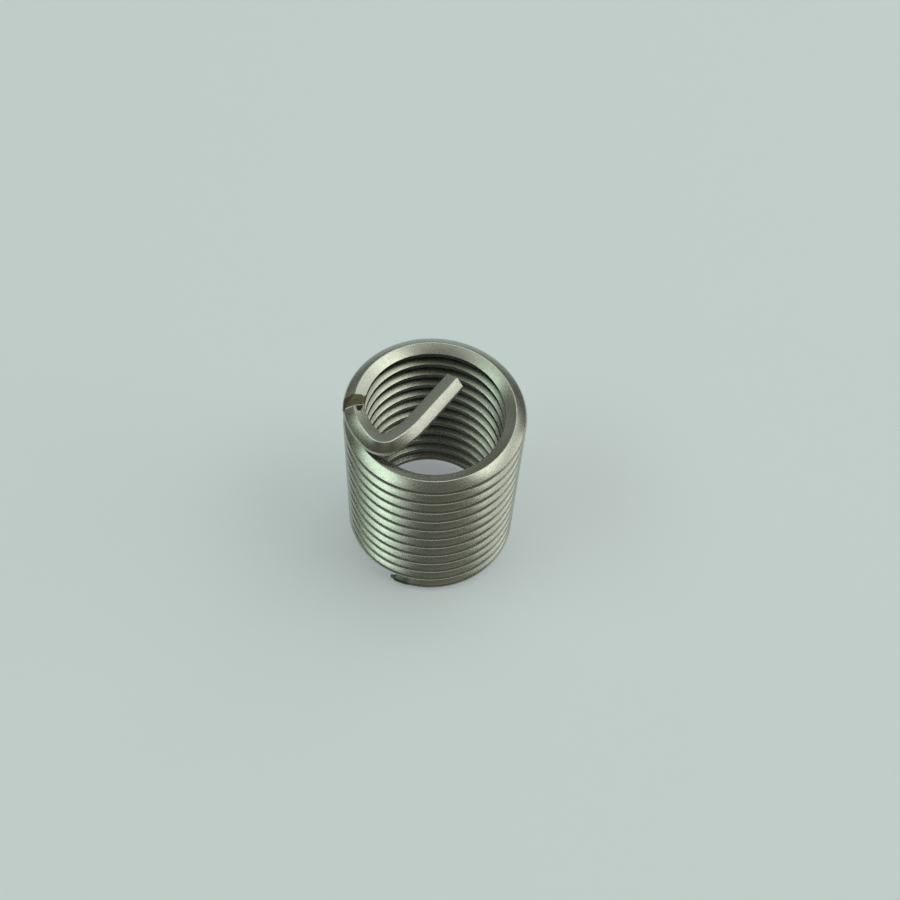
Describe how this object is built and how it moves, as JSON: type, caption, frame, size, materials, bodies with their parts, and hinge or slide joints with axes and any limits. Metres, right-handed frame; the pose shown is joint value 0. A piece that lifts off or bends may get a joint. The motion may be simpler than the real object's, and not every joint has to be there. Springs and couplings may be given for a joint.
{
  "type": "wire thread insert",
  "caption": "Helical coil of diamond-section steel wire that lines a tapped hole with a new thread, with a notched driving tang bent across the bore.",
  "frame": {"origin": "middle of the foot of the coil, on the coil's axis, level with the lowest point of the wire", "axes": "+Z along the coil's axis towards the tang, -Y towards the side that the picture was taken from, +X to the right in the picture"},
  "size_m": [0.0144, 0.0144, 0.0179],
  "materials": {
    "wire": "satin, as-drawn stainless wire"
  },
  "bodies": {
    "root": {"insert": "wire"}
  },
  "joints": []
}
